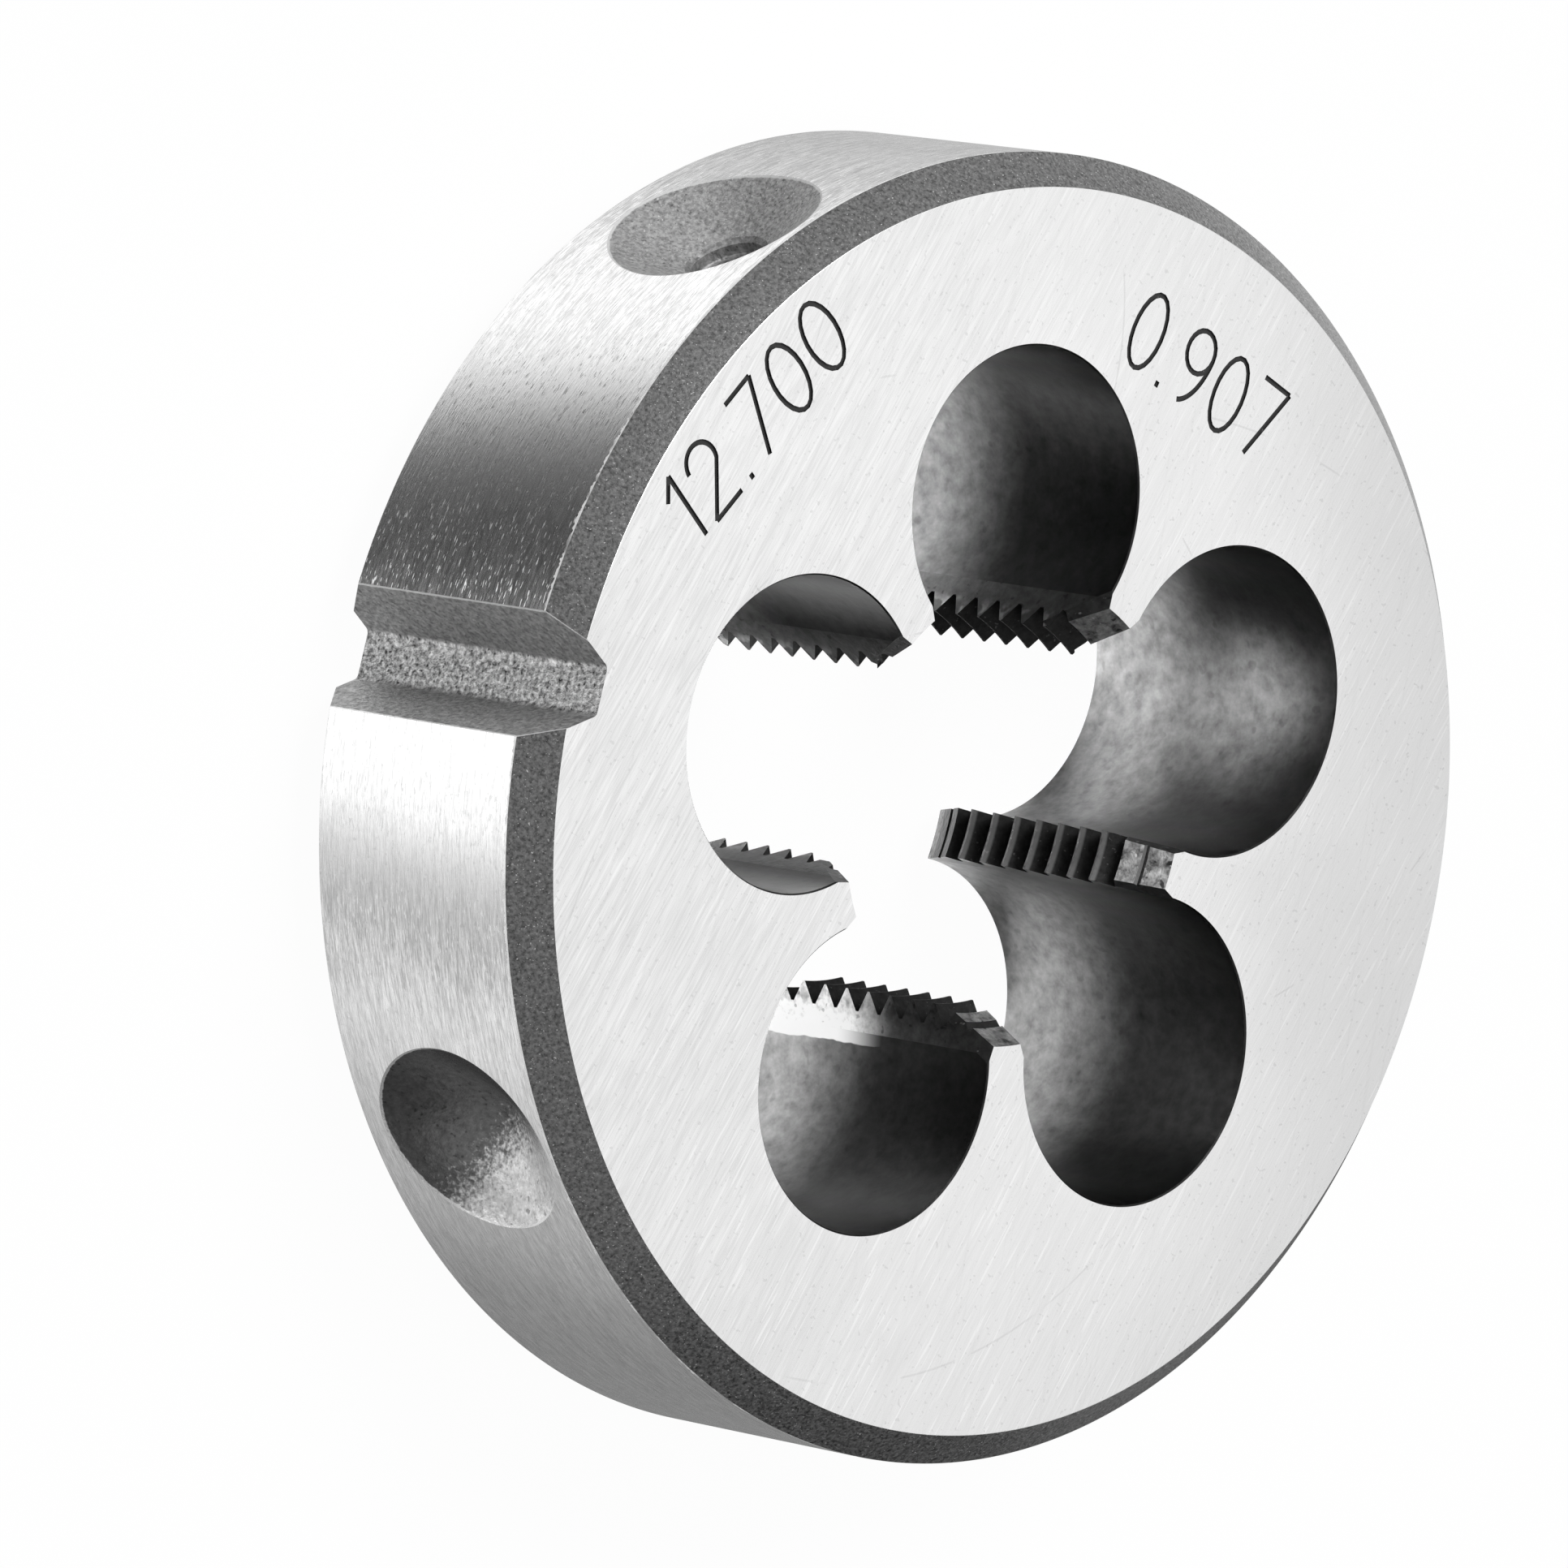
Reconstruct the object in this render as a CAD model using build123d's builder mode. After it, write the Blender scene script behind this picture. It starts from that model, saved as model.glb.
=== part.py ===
"""Round threading die, 38 mm across and 10 mm thick, for a right-hand thread of 12.7 mm and 28 turns an inch.

Millimetres. The die lies on its back face: the origin is the centre of that face, +Z is the thread axis
and runs out through the front face, and +X runs along the middle of one land. The chip hole under the
V-groove lies on -X.
"""

from build123d import *
from math import atan, ceil, cos, degrees, floor, pi, radians, sin, sqrt, tan
import os

# Blank
OUTER_DIAMETER = 38.0
THICKNESS = 10.0
FRONT_CHAMFER = 0.95
BACK_CHAMFER = 1.25

# Chip holes and the lands between them
CHIP_HOLES = 5
CHIP_HOLE_DIAMETER = 9.08
CHIP_CIRCLE_DIAMETER = 17.96
LAND_WIDTH = 1.5

# Thread: right-handed, with flat crests on the lands
THREAD_DIAMETER = 12.7
THREAD_PITCH = 25.4 / 28
FLANK_ANGLE = 60.0
ROOT_CLEARANCE = 0.05
ROOT_FLAT = 0.113
CREST_DIAMETER = 11.56
FIRST_ROOT_HEIGHT = 0.193

# Lead-in cones, wide at the faces
FRONT_MOUTH_DIAMETER = 13.5
FRONT_LEAD_ANGLE = 55.0
BACK_MOUTH_DIAMETER = 13.9
BACK_LEAD_ANGLE = 60.0

# Gashes ground into the lands from the front face
GASH_CLOSING_ANGLE = 28.0
GASH_TAPER = 14.0

# V-groove for the centre screw of the stock
GROOVE_DEPTH = 2.0
GROOVE_FLOOR_WIDTH = 1.4
GROOVE_ANGLE = 60.0
GROOVE_CORNER_RADIUS = 0.2
GROOVE_TURN = 2.9

# Drilled dimples for the side screws of the stock
DIMPLE_DIAMETER = 6.8
DIMPLE_ANGLE = 120.0
DIMPLE_RISE = 0.4
DIMPLE_TURN = 45.8
DRILL_MARK_DIAMETER = 2.2
DRILL_MARK_DEPTH = 0.45

# Tools pass this far beyond the surfaces that they cut
OVERRUN = 1.0

outer_radius = OUTER_DIAMETER / 2
chip_hole_radius = CHIP_HOLE_DIAMETER / 2
chip_circle_radius = CHIP_CIRCLE_DIAMETER / 2
half_step = 180.0 / CHIP_HOLES
first_chip_angle = 180.0

root_radius = THREAD_DIAMETER / 2 + ROOT_CLEARANCE
crest_radius = CREST_DIAMETER / 2


def cone_depth(mouth_diameter, lead_angle, radius):
    """Depth at which a lead-in cone has narrowed from its mouth to a radius."""
    return (mouth_diameter / 2 - radius) / tan(radians(lead_angle / 2))


def rim_plane(angle, radius, height):
    """Plane under the rim that faces straight out, at an angle round the axis."""
    outward = (cos(radians(angle)), sin(radians(angle)), 0)
    return Plane(
        origin=(radius * outward[0], radius * outward[1], height),
        x_dir=(-outward[1], outward[0], 0),
        z_dir=outward,
    )


# One channel of the thread, across the land on +X: a short arc of a ring that is tilted by the thread's
# lead, which keeps to the helix over the width of a land
channel_inner_radius = crest_radius - THREAD_PITCH / 4
channel_inner_width = ROOT_FLAT + 2 * (root_radius - channel_inner_radius) * tan(
    radians(FLANK_ANGLE / 2)
)
lead_angle = degrees(atan(THREAD_PITCH / (pi * (crest_radius + root_radius))))
channel_arc = half_step
ring_plane = Plane.XY.rotated((lead_angle, 0, 0))
arc_start = ring_plane.rotated((0, 0, -channel_arc / 2))
with BuildPart() as thread_channel:
    with BuildSketch(Plane(origin=(0, 0, 0), x_dir=arc_start.x_dir, z_dir=-arc_start.y_dir)):
        with BuildLine():
            Polyline(
                (channel_inner_radius, -channel_inner_width / 2),
                (root_radius, -ROOT_FLAT / 2),
                (root_radius, ROOT_FLAT / 2),
                (channel_inner_radius, channel_inner_width / 2),
                close=True,
            )
        make_face()
    revolve(axis=Axis((0, 0, 0), ring_plane.z_dir), revolution_arc=channel_arc)

# The thread: a channel for each turn on each land, between the heights at which the lead-in cones are
# narrower than the roots
lowest_root = cone_depth(BACK_MOUTH_DIAMETER, BACK_LEAD_ANGLE, root_radius) - ROOT_FLAT / 2
highest_root = (
    THICKNESS - cone_depth(FRONT_MOUTH_DIAMETER, FRONT_LEAD_ANGLE, root_radius) + ROOT_FLAT / 2
)
thread_channels = []
for land in range(CHIP_HOLES):
    land_angle = land * 2 * half_step
    land_root = FIRST_ROOT_HEIGHT + THREAD_PITCH * land_angle / 360
    first_turn = ceil((lowest_root - land_root) / THREAD_PITCH)
    last_turn = floor((highest_root - land_root) / THREAD_PITCH)
    for turn in range(first_turn, last_turn + 1):
        place = Location((0, 0, land_root + turn * THREAD_PITCH), (0, 0, land_angle))
        thread_channels.append(place * thread_channel.part)


with BuildPart() as threading_die:
    # Turned blank with its two edge chamfers
    Cylinder(
        radius=outer_radius,
        height=THICKNESS,
        align=(Align.CENTER, Align.CENTER, Align.MIN),
    )
    rim_edges = threading_die.edges().filter_by(GeomType.CIRCLE).sort_by(Axis.Z)
    chamfer(rim_edges[-1], length=FRONT_CHAMFER)
    chamfer(rim_edges[0], length=BACK_CHAMFER)

    # Bore at crest size, opening into a lead-in cone at each face
    with BuildSketch(Plane.XZ):
        with BuildLine():
            Polyline(
                (0, 0),
                (BACK_MOUTH_DIAMETER / 2, 0),
                (crest_radius, cone_depth(BACK_MOUTH_DIAMETER, BACK_LEAD_ANGLE, crest_radius)),
                (
                    crest_radius,
                    THICKNESS - cone_depth(FRONT_MOUTH_DIAMETER, FRONT_LEAD_ANGLE, crest_radius),
                ),
                (FRONT_MOUTH_DIAMETER / 2, THICKNESS),
                (0, THICKNESS),
                close=True,
            )
        make_face()
    revolve(axis=Axis.Z, mode=Mode.SUBTRACT)

    # V-groove across the rim
    groove_floor = outer_radius - GROOVE_DEPTH
    groove_mouth_width = GROOVE_FLOOR_WIDTH + 2 * (GROOVE_DEPTH + OVERRUN) * tan(
        radians(GROOVE_ANGLE / 2)
    )
    with BuildSketch(Plane.XY.rotated((0, 0, first_chip_angle + GROOVE_TURN))) as groove:
        with BuildLine():
            Polyline(
                (groove_floor, -GROOVE_FLOOR_WIDTH / 2),
                (outer_radius + OVERRUN, -groove_mouth_width / 2),
                (outer_radius + OVERRUN, groove_mouth_width / 2),
                (groove_floor, GROOVE_FLOOR_WIDTH / 2),
                close=True,
            )
        make_face()
        fillet(groove.vertices().sort_by(Axis.X)[:2], radius=GROOVE_CORNER_RADIUS)
    extrude(amount=THICKNESS, mode=Mode.SUBTRACT)

    # Dimples, one on each side of the groove and two across from them
    dimple_height = THICKNESS / 2 + DIMPLE_RISE
    dimple_depth = DIMPLE_DIAMETER / 2 / tan(radians(DIMPLE_ANGLE / 2))
    dimple_floor = outer_radius - dimple_depth
    dimple_angles = [
        first_chip_angle - DIMPLE_TURN,
        first_chip_angle + DIMPLE_TURN,
        -DIMPLE_TURN,
        DIMPLE_TURN,
    ]
    with Locations([rim_plane(angle, dimple_floor, dimple_height) for angle in dimple_angles]):
        Cone(
            bottom_radius=0,
            top_radius=DIMPLE_DIAMETER / 2 + OVERRUN * tan(radians(DIMPLE_ANGLE / 2)),
            height=dimple_depth + OVERRUN,
            align=(Align.CENTER, Align.CENTER, Align.MIN),
            mode=Mode.SUBTRACT,
        )

    # Drill mark left at the bottom of the first dimple
    mark_edge = dimple_floor + DRILL_MARK_DIAMETER / 2 / tan(radians(DIMPLE_ANGLE / 2))
    with Locations(rim_plane(dimple_angles[0], mark_edge - DRILL_MARK_DEPTH, dimple_height)):
        Cylinder(
            radius=DRILL_MARK_DIAMETER / 2,
            height=DRILL_MARK_DEPTH + OVERRUN,
            align=(Align.CENTER, Align.CENTER, Align.MIN),
            mode=Mode.SUBTRACT,
        )

    # Chip holes, drilled right through
    with BuildSketch(Plane.XY):
        with PolarLocations(chip_circle_radius, CHIP_HOLES, start_angle=first_chip_angle):
            Circle(chip_hole_radius)
    extrude(amount=THICKNESS, mode=Mode.SUBTRACT)

    # Rake faces: each chip hole opens inwards between flats that leave the lands straight-sided
    land_neck = chip_circle_radius * cos(radians(half_step))
    flat_start = LAND_WIDTH / 2 / sin(radians(half_step))
    flat_end_x = land_neck * cos(radians(half_step)) + LAND_WIDTH / 2 * sin(radians(half_step))
    flat_end_y = land_neck * sin(radians(half_step)) - LAND_WIDTH / 2 * cos(radians(half_step))
    with BuildSketch(Plane.XY):
        with PolarLocations(0, CHIP_HOLES, start_angle=first_chip_angle):
            Polygon(
                (flat_start, 0),
                (flat_end_x, -flat_end_y),
                (flat_end_x, flat_end_y),
                align=None,
            )
    extrude(amount=THICKNESS, mode=Mode.SUBTRACT)

    # Gashes, which start where the flats end and fade out at the crests: they narrow the lands towards
    # the front face, where the die starts its cut
    gash_start_x = crest_radius * cos(radians(half_step)) - OVERRUN
    gash_start_y = flat_end_y - (flat_end_x - gash_start_x) * tan(radians(GASH_CLOSING_ANGLE / 2))
    flat_length = land_neck - sqrt(crest_radius**2 - (LAND_WIDTH / 2) ** 2)
    gash_bite = flat_length * sin(radians(half_step - GASH_CLOSING_ANGLE / 2))
    gash_depth = gash_bite / tan(radians(GASH_TAPER))
    with BuildSketch(Plane.XY.offset(THICKNESS)):
        with PolarLocations(0, CHIP_HOLES, start_angle=first_chip_angle):
            Polygon(
                (flat_end_x, -flat_end_y),
                (flat_end_x, flat_end_y),
                (gash_start_x, gash_start_y),
                (gash_start_x, -gash_start_y),
                align=None,
            )
    extrude(amount=-gash_depth, taper=GASH_TAPER, mode=Mode.SUBTRACT)

    # Thread across the lands
    add(thread_channels, mode=Mode.SUBTRACT)

threading_die.part.label = "threading_die"

os.makedirs("parts", exist_ok=True)
export_step(threading_die.part, "parts/threading_die.step")
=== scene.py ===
"""Looks of the round threading die: its machined body, its finishes, the studio round it and the camera.

Sizes are millimetres and become metres where a mesh is finished. The die lies on its back face, as
packed.
"""

import math

import bmesh
import bpy
from mathutils import Matrix, Vector


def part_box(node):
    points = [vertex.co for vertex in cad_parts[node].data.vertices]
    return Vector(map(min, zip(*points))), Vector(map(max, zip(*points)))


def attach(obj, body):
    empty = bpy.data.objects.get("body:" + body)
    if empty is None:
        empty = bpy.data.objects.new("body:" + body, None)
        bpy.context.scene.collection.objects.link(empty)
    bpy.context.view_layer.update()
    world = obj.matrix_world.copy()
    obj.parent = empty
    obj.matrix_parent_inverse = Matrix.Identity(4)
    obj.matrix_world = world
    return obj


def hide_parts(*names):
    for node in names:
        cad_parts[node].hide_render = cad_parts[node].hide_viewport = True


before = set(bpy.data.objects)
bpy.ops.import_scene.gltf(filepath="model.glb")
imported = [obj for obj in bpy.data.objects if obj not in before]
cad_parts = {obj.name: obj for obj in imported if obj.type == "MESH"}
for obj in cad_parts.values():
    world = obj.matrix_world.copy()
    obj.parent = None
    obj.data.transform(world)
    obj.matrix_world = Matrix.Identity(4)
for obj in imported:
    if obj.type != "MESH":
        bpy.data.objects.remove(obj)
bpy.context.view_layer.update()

MM = 0.001
NODE = "threading_die"

# Blank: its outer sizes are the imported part's
cad_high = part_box(NODE)[1]
OUTER_RADIUS = cad_high.x / MM
THICKNESS = cad_high.z / MM
FRONT_CHAMFER = 0.95
BACK_CHAMFER = 1.25
EDGE_BREAK = 0.045

# Chip holes and lands
CHIP_HOLES = 5
CHIP_HOLE_RADIUS = 4.54
CHIP_CIRCLE_RADIUS = 8.98
LAND_WIDTH = 1.5
FIRST_CHIP_ANGLE = 180.0

# Thread
PITCH = 25.4 / 28
CREST_RADIUS = 5.78
ROOT_RADIUS = 6.40
ROOT_FLAT = 0.113
FLANK_ANGLE = 60.0
FIRST_ROOT_HEIGHT = 0.193

# Lead-in cones
FRONT_MOUTH_RADIUS = 6.75
FRONT_LEAD_ANGLE = 55.0
BACK_MOUTH_RADIUS = 6.95
BACK_LEAD_ANGLE = 60.0

# Gashes
GASH_CLOSING_ANGLE = 28.0
GASH_TAPER = 14.0

# V-groove, and the angle by which its broken edges flare
GROOVE_DEPTH = 2.0
GROOVE_FLOOR_WIDTH = 1.4
GROOVE_ANGLE = 60.0
GROOVE_CORNER_RADIUS = 0.2
GROOVE_TURN = 2.9
GROOVE_EDGE_ANGLE = 60.0

# Dimples
DIMPLE_RADIUS = 3.4
DIMPLE_ANGLE = 120.0
DIMPLE_HEIGHT = THICKNESS / 2 + 0.4
DIMPLE_TURN = 45.8
DRILL_MARK_RADIUS = 1.1
DRILL_MARK_DEPTH = 0.45
DRILL_MARK_CORNER_RADIUS = 0.15
DRILL_MARK_LIP = 0.06

# Plain numbers etched on the front face: what they say, the angle that their line faces, and how far its
# foot lies from the centre. The floor of a line is a share of its width
MARKS = [("12.700", 150.5, 14.9), ("0.907", 78.0, 13.1)]
MARK_HEIGHT = 2.3
MARK_SPACING = 0.42
MARK_LINE_WIDTH = 0.2
MARK_DEPTH = 0.07
MARK_FLOOR_SHARE = 0.6

# Cutters pass this far beyond the surfaces that they cut, and the thread's winds this much further
OVERRUN = 1.0
THREAD_OVERRUN = 0.05
SPARE_TURNS = 1.0

# Facets all the way round, and the angle from which an edge stays sharp
STAGE_STEPS = 180
BLANK_STEPS = 480
HOLE_STEPS = 160
CONE_STEPS = 128
THREAD_STEPS = 160
SHARP_ANGLE = 14.0

# Ground face: the direction of its lines, how far the crossing ones turn from it, and how many there are
# to a millimetre along and across
GRINDING_ANGLE = 72.6
CROSSING_TURN = 24.0
FACE_LINES = (0.22, 4.8, 0.2)
CROSSING_LINES = (0.1, 3.6, 0.2)
# Towards the part of the face that is painted a little darker, as painted shade
SHADED_FACE_SIDE = (-0.5, -0.866, 0.0)
# Scratches on the face: centre and radius
FACE_ARCS = [((-4.0, -3.0), 14.5), ((6.0, -9.0), 22.0), ((-9.5, 12.0), 9.0), ((3.0, 10.0), 15.5)]

# Ground rim: how many streaks and scratches there are to a millimetre, and how far they lean round the
# axis, as a slope
RIM_STREAKS = (0.65, 0.65, 7.5)
RIM_SCRATCHES = (1.5, 1.5, 9.0)
STREAK_TILT = 0.07
SCRATCH_TILT = 0.13

# Which way the lower dimple's painted lit side, the groove's floor and the painted reflecting rake look
LIT_DIMPLE_SIDE = (-0.541, 0.526, -0.656)
GROOVE_FLOOR = (-0.9987, -0.0506, 0.0)
REFLECTING_RAKE = (-0.951, -0.309, 0.0)
# End of the painted reflecting rake face on its chip hole's wall, where a painted reflection strip lies
REFLECTION_FOOT = (1.43, -6.82, 0.0)
# Middle of the painted highlight patch on a chip hole's wall
HIGHLIGHT_PATCH = (12.0, 5.9, 6.6)

# What drops the height of a place, and the direction of the axis
LEVEL = (1.0, 1.0, 0.0)
UPWARDS = (0.0, 0.0, 1.0)

# White surroundings
FLOOR_SIZE = 4000.0
FLOOR_GLOW = 0.97
ROOM_LIGHT = 0.35

# Paper under the die, which only the metal sees: the die shades it
PAPER_RADIUS = 16.8
PAPER_HEIGHT = 0.01
PAPER_COLOUR = (0.9, 0.9, 0.9, 1)

# Tent: a ring of panels below the die, which only the metal sees
TENT_RADIUS = 100.0
TENT_TOP = -8.0
TENT_BOTTOM = -320.0
# Brightness of the panels by azimuth in degrees
TENT_PANELS = [
    (0, 0.08), (23, 0.53), (48, 0.60), (80, 0.75), (102, 1.30), (126, 1.30),
    (136, 0.22), (150, 0.08), (176, 0.08), (183, 1.90), (203, 1.45), (212, 0.66),
    (222, 0.46), (233, 0.98), (242, 0.90), (256, 0.60), (268, 0.49), (276, 0.54),
    (286, 0.36), (300, 0.28), (340, 0.29), (360, 0.08),
]

# Upright cards round the die, which only the metal sees: azimuth, distance, half width, foot, top and
# brightness
CARDS = {
    "side card": (8, 46, 60, 0.5, 42, 0.78),
    "dark flag": (306, 60, 42, -6, 45, 0.0),
    "far strip": (34, 92, 32, -45, -2, 1.45),
    "low dark band": (275, 88, 75, -36, 16, 0.25),
    "left dark band": (238, 95, 58, -10, 18, 0.3),
}

# Lamps: azimuth, elevation, distance, size and power. The low ones reach the paper through the bore and
# the chip holes
KEY_LAMP = (104, 56, 600, (300, 300), 2.7)
PAPER_LAMPS = {
    "lower left lamp": (240, 35, 600, (160, 100), 6.8),
    "left lamp": (216, 42, 600, (160, 100), 5.4),
    "upper left lamp": (150, 35, 600, (160, 100), 5.0),
    "far lamp": (90, 40, 600, (160, 100), 5.4),
    "near lamp": (285, 38, 600, (160, 100), 2.2),
}

# Camera: looks down on the die along the photograph's line of sight
CAMERA_DISTANCE = 400.4
CAMERA_AIM = Vector((-4.415, -0.839, 5.0))
CAMERA_LINE = Vector((0.69139, 0.09816, -0.71578))
CAMERA_UP = Vector((-0.25091, 0.96168, -0.11048))
LENS = 319.5
SENSOR = 36.0

half_step = math.radians(180 / CHIP_HOLES)


# Outlines and meshes


def circle(radius, height, steps):
    """Places on a level circle about Z."""
    turns = [2 * math.pi * k / steps for k in range(steps)]
    return [(radius * math.cos(turn), radius * math.sin(turn), height) for turn in turns]


def direction(azimuth, elevation=0.0):
    """Unit vector towards an azimuth and an elevation in degrees."""
    turn, lift = math.radians(azimuth), math.radians(elevation)
    level = math.cos(lift)
    return Vector((level * math.cos(turn), level * math.sin(turn), math.sin(lift)))


def rounded(corners, steps=4):
    """Outline with its corners rounded: each corner is (x, y) or (x, y, radius)."""
    outline = []
    count = len(corners)
    for i, corner in enumerate(corners):
        here = Vector(corner[:2])
        radius = corner[2] if len(corner) > 2 else 0
        if not radius:
            outline.append(here)
            continue
        before = (Vector(corners[i - 1][:2]) - here).normalized()
        after = (Vector(corners[(i + 1) % count][:2]) - here).normalized()
        half_angle = before.angle(after) / 2
        centre = here + (before + after).normalized() * radius / math.sin(half_angle)
        start = here + before * radius / math.tan(half_angle) - centre
        end = here + after * radius / math.tan(half_angle) - centre
        for k in range(steps + 1):
            outline.append(centre + start.slerp(end, k / steps) * radius)
    return outline


def finished_mesh(shape, name):
    bmesh.ops.recalc_face_normals(shape, faces=shape.faces[:])
    mesh = bpy.data.meshes.new(name)
    shape.to_mesh(mesh)
    shape.free()
    return mesh


def spun(outline, steps, name, paint=None):
    """Closed outline of (radius, height) turned about Z. Paint gives a side's material index."""
    shape = bmesh.new()
    rings = []
    for radius, height in outline:
        if radius == 0:
            rings.append([shape.verts.new((0, 0, height))] * steps)
        else:
            rings.append([shape.verts.new(place) for place in circle(radius, height, steps)])
    for i, lower in enumerate(rings):
        upper = rings[(i + 1) % len(rings)]
        if lower[0] is lower[-1] and upper[0] is upper[-1]:
            continue
        middle = (Vector(outline[i]) + Vector(outline[(i + 1) % len(outline)])) / 2
        for k in range(steps):
            j = (k + 1) % steps
            corners = list(dict.fromkeys((lower[k], lower[j], upper[j], upper[k])))
            side = shape.faces.new(corners)
            side.material_index = paint(middle.x, middle.y) if paint else 0
    return finished_mesh(shape, name)


def prism(lower, upper, low, high, name):
    """Mesh between two outlines of as many corners, at two heights."""
    shape = bmesh.new()
    bottom = [shape.verts.new((p[0], p[1], low)) for p in lower]
    top = [shape.verts.new((p[0], p[1], high)) for p in upper]
    shape.faces.new(bottom[::-1])
    shape.faces.new(top)
    for i, vert in enumerate(bottom):
        j = (i + 1) % len(bottom)
        shape.faces.new((vert, bottom[j], top[j], top[i]))
    return finished_mesh(shape, name)


def inset(outline, distance):
    """A convex outline, anticlockwise, with each side moved inwards."""
    moved = []
    for i, corner in enumerate(outline):
        here = Vector(corner)
        before = (here - Vector(outline[i - 1])).normalized()
        after = (Vector(outline[(i + 1) % len(outline)]) - here).normalized()
        normal_before = Vector((-before.y, before.x))
        bisector = (normal_before + Vector((-after.y, after.x))).normalized()
        moved.append(here + bisector * distance / bisector.dot(normal_before))
    return moved


def mesh_of(name, places, faces):
    """Mesh in metres of places in millimetres."""
    mesh = bpy.data.meshes.new(name)
    mesh.from_pydata([[part * MM for part in place] for place in places], [], faces)
    return mesh


def piece(name, mesh, materials):
    made = bpy.data.objects.new(name, mesh)
    bpy.context.scene.collection.objects.link(made)
    for material in materials:
        mesh.materials.append(material)
    return made


# Node trees


def add_node(tree, kind, values=None, **settings):
    """New node with its settings, and its inputs by name: a socket is linked, a value is set."""
    node = tree.nodes.new(kind)
    for name, value in settings.items():
        setattr(node, name, value)
    for name, value in (values or {}).items():
        if isinstance(value, bpy.types.NodeSocket):
            tree.links.new(value, node.inputs[name])
        else:
            node.inputs[name].default_value = value
    return node


def maths(tree, operation, first, second=0.0, third=0.0):
    values = {0: first, 1: second, 2: third}
    return add_node(tree, "ShaderNodeMath", values, operation=operation).outputs[0]


def vector_maths(tree, operation, first, second=(0.0, 0.0, 0.0)):
    """Vector that an operation makes of two vectors, or the number that it makes."""
    values = {0: first, 1: second}
    outputs = add_node(tree, "ShaderNodeVectorMath", values, operation=operation).outputs
    return outputs["Value" if operation in ("DISTANCE", "DOT_PRODUCT") else "Vector"]


def scaled(tree, vector, scale):
    values = {0: vector, "Scale": scale}
    return add_node(tree, "ShaderNodeVectorMath", values, operation="SCALE").outputs[0]


def parts_of(tree, vector):
    return add_node(tree, "ShaderNodeSeparateXYZ", {"Vector": vector}).outputs


def vector_of(tree, **parts):
    """Vector with the given X, Y and Z, and 0 for each that isn't given."""
    return add_node(tree, "ShaderNodeCombineXYZ", parts).outputs[0]


def node_group(name, kind, inputs, outputs):
    """Group of nodes with named inputs and outputs, each with the kind of its socket."""
    group = bpy.data.node_groups.new(name, kind)
    for in_out, sockets in (("INPUT", inputs), ("OUTPUT", outputs)):
        for socket, holds in sockets.items():
            group.interface.new_socket(socket, in_out=in_out, socket_type=f"NodeSocket{holds}")
    given = group.nodes.new("NodeGroupInput").outputs
    return group, given, group.nodes.new("NodeGroupOutput").inputs


def geometry_tree(name, sizes):
    """Geometry Nodes tree with a geometry in and out, and a named input for each size."""
    geometry = {"Geometry": "Geometry"}
    return node_group(name, "GeometryNodeTree", {**geometry, **sizes}, geometry)


def end_in_cut(tree, given, cutter, output):
    """Paints the cutter, takes it away from the piece and ends the tree."""
    whole = add_node(tree, "GeometryNodeRealizeInstances", {"Geometry": cutter})
    values = {"Geometry": whole.outputs[0], "Material": given["Finish"]}
    painted = add_node(tree, "GeometryNodeSetMaterial", values)
    cut = add_node(tree, "GeometryNodeMeshBoolean", operation="DIFFERENCE", solver="MANIFOLD")
    tree.links.new(given["Geometry"], cut.inputs["Mesh 1"])
    tree.links.new(painted.outputs[0], cut.inputs["Mesh 2"])
    tree.links.new(cut.outputs[0], output[0])


def cut_round_tree():
    """Cuts copies of a cutter out of a piece, evenly spaced about Z."""
    tree, given, output = geometry_tree(
        "cut round the axis",
        {"Cutter": "Object", "Count": "Int", "First Angle": "Float", "Finish": "Material"},
    )
    cutter = add_node(tree, "GeometryNodeObjectInfo", {"Object": given["Cutter"]})
    points = add_node(tree, "GeometryNodePoints", {"Count": given["Count"]})
    index = tree.nodes.new("GeometryNodeInputIndex").outputs[0]
    step = maths(tree, "DIVIDE", 2 * math.pi, given["Count"])
    angle = maths(tree, "MULTIPLY_ADD", index, step, given["First Angle"])
    values = {
        "Points": points.outputs[0],
        "Instance": cutter.outputs["Geometry"],
        "Rotation": vector_of(tree, Z=angle),
    }
    copies = add_node(tree, "GeometryNodeInstanceOnPoints", values)
    end_in_cut(tree, given, copies.outputs[0], output)
    return tree


def swept(tree, curve, corners):
    """Sweeps a section with four corners along a curve and keeps it upright."""
    upright = add_node(tree, "GeometryNodeSetCurveNormal", {"Curve": curve}, mode="Z_UP")
    points = {}
    for number, (x, y) in enumerate(corners, 1):
        points[f"Point {number}"] = vector_of(tree, X=x, Y=y)
    section = add_node(tree, "GeometryNodeCurvePrimitiveQuadrilateral", points, mode="POINTS")
    values = {"Curve": upright.outputs[0], "Profile Curve": section.outputs[0], "Fill Caps": True}
    return add_node(tree, "GeometryNodeCurveToMesh", values).outputs[0]


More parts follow.
